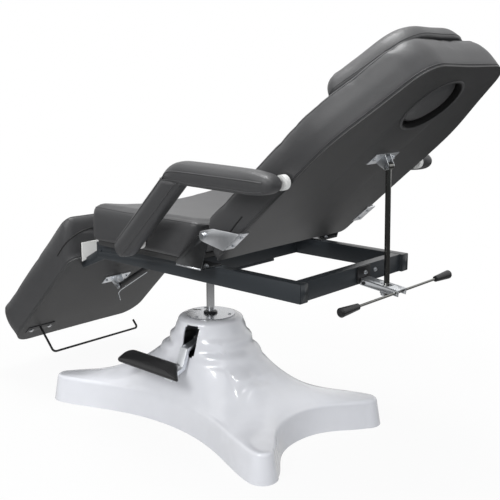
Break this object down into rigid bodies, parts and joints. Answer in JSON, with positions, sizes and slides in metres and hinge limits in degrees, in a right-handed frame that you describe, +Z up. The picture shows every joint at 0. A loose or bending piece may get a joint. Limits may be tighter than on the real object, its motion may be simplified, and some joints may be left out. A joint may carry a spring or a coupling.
{
  "type": "massage table",
  "caption": "Hydraulic massage couch: white lobed pump base with pedal, tube frame, padded seat, reclining back with face hole and pillow, hinged leg rest, pivoting armrests.",
  "frame": {"origin": "on the floor under the axis of the lifting column", "axes": "+X towards the head end, +Y to the side away from the pedal, +Z up"},
  "size_m": [1.6539, 0.7552, 1.1837],
  "materials": {
    "black_plastic": "black moulded plastic",
    "black_wire": "black painted steel",
    "chrome": "chrome plate",
    "covered_board": "plywood covered in dark grey artificial leather",
    "frame_paint": "dark grey powder coat",
    "grey_steel": "grey steel",
    "leather": "dark grey artificial leather, satin",
    "nylon": "white nylon",
    "pump_paint": "black painted steel",
    "white_shell": "glossy white moulded cover",
    "zinc": "bright zinc plate"
  },
  "bodies": {
    "base": {"base_cover": "white_shell", "floor_plate": "pump_paint", "pump_cylinder": "pump_paint", "top_disc": "grey_steel", "column_gland": "black_plastic", "pedal_bracket": "pump_paint", "pedal_pin": "grey_steel"},
    "pedal": {"pedal_lever": "zinc", "pedal_shoe": "black_plastic"},
    "piston": {"piston_column": "chrome"},
    "frame": {"swivel_hub": "frame_paint", "mount_plate": "frame_paint", "side_rail_near": "frame_paint", "side_rail_far": "frame_paint", "rear_rail": "frame_paint", "middle_rail": "frame_paint", "column_rail": "frame_paint", "front_rail": "frame_paint", "seat_board": "covered_board", "seat_cushion": "leather", "hinge_bracket_near": "chrome", "hinge_bracket_far": "chrome", "hinge_pin_near": "zinc", "hinge_pin_far": "zinc", "lock_block": "black_plastic", "leg_strut_anchor": "zinc", "leg_strut_anchor_pin": "zinc", "arm_spacer_seat_near": "nylon", "arm_spacer_seat_far": "nylon", "arm_bolt_near": "zinc", "arm_bolt_far": "zinc"},
    "backrest": {"back_board": "covered_board", "back_cushion": "leather", "face_hole_plug": "leather", "head_pillow": "leather", "back_hinge_plate_near": "chrome", "back_hinge_plate_far": "chrome", "strut_bracket": "zinc", "strut_bracket_pin": "zinc"},
    "back_strut": {"strut_rod": "chrome"},
    "release_lever": {"lock_lever": "zinc", "release_bar": "chrome", "grip_near": "black_plastic", "grip_far": "black_plastic"},
    "leg_rest": {"leg_board": "covered_board", "leg_cushion": "leather", "leg_hinge_arm_near": "zinc", "leg_hinge_arm_far": "zinc", "leg_strut_bracket": "zinc", "leg_strut_bracket_pin": "zinc", "roll_bar_plate": "black_wire", "roll_bar": "black_wire"},
    "leg_sleeve": {"leg_strut_sleeve": "black_plastic"},
    "leg_rod": {"leg_strut_rod": "zinc"},
    "leg_trigger": {"release_trigger": "zinc"},
    "armrest_near": {"armrest_near": "leather", "arm_spacer_back_near": "nylon"},
    "armrest_far": {"armrest_far": "leather", "arm_spacer_back_far": "nylon"}
  },
  "joints": [
    {"name": "lift", "type": "slide", "parent": "base", "child": "piston", "axis": [0, 0, 1], "range_m": [-0.09, 0.06]},
    {"name": "swivel", "type": "hinge", "parent": "piston", "child": "frame", "pos_m": [0, 0, 0.44], "axis": [0, 0, 1], "continuous": true},
    {"name": "back_tilt", "type": "hinge", "parent": "frame", "child": "backrest", "pos_m": [0.28, 0, 0.6583], "axis": [0, 1, 0], "range_deg": [0, 41.8]},
    {"name": "strut_swing", "type": "hinge", "parent": "backrest", "child": "back_strut", "pos_m": [0.62154, 0.033, 0.83892], "axis": [0, 1, 0], "range_deg": [-16, 1]},
    {"name": "release", "type": "hinge", "parent": "frame", "child": "release_lever", "pos_m": [0.568, 0.033, 0.5195], "axis": [0, 1, 0], "range_deg": [-14, 0]},
    {"name": "leg_tilt", "type": "hinge", "parent": "frame", "child": "leg_rest", "pos_m": [-0.228, 0, 0.538], "axis": [0, 1, 0], "range_deg": [0, 44]},
    {"name": "leg_strut_swing", "type": "hinge", "parent": "leg_rest", "child": "leg_sleeve", "pos_m": [-0.45469, 0.01, 0.338], "axis": [0, 1, 0], "range_deg": [-3, 0.5]},
    {"name": "leg_strut_slide", "type": "slide", "parent": "leg_sleeve", "child": "leg_rod", "axis": [0.8596, 0, 0.511], "range_m": [-0.001, 0.04]},
    {"name": "trigger", "type": "hinge", "parent": "leg_sleeve", "child": "leg_trigger", "pos_m": [-0.31107, 0.01, 0.40953], "axis": [0, 1, 0], "range_deg": [-8, 0], "stiffness_Nm_per_rad": 0.6, "springref_deg": 2.86},
    {"name": "arm_near", "type": "hinge", "parent": "frame", "child": "armrest_near", "pos_m": [0.017, 0, 0.605], "axis": [0, 1, 0], "range_deg": [-0.5, 23]},
    {"name": "arm_far", "type": "hinge", "parent": "frame", "child": "armrest_far", "pos_m": [0.017, 0, 0.605], "axis": [0, 1, 0], "range_deg": [-0.5, 23]},
    {"name": "pedal_lift", "type": "hinge", "parent": "base", "child": "pedal", "pos_m": [0.02, -0.066, 0.258], "axis": [-1, 0, 0], "range_deg": [0, 20]}
  ],
  "couplings": [
    {"joint": "strut_swing", "follows": "back_tilt", "ratio": -0.335},
    {"joint": "arm_near", "follows": "back_tilt", "ratio": 0.536},
    {"joint": "arm_far", "follows": "back_tilt", "ratio": 0.536},
    {"joint": "leg_strut_swing", "follows": "leg_tilt", "ratio": -0.055},
    {"joint": "leg_strut_slide", "follows": "leg_tilt", "m_per_rad": 0.052}
  ]
}
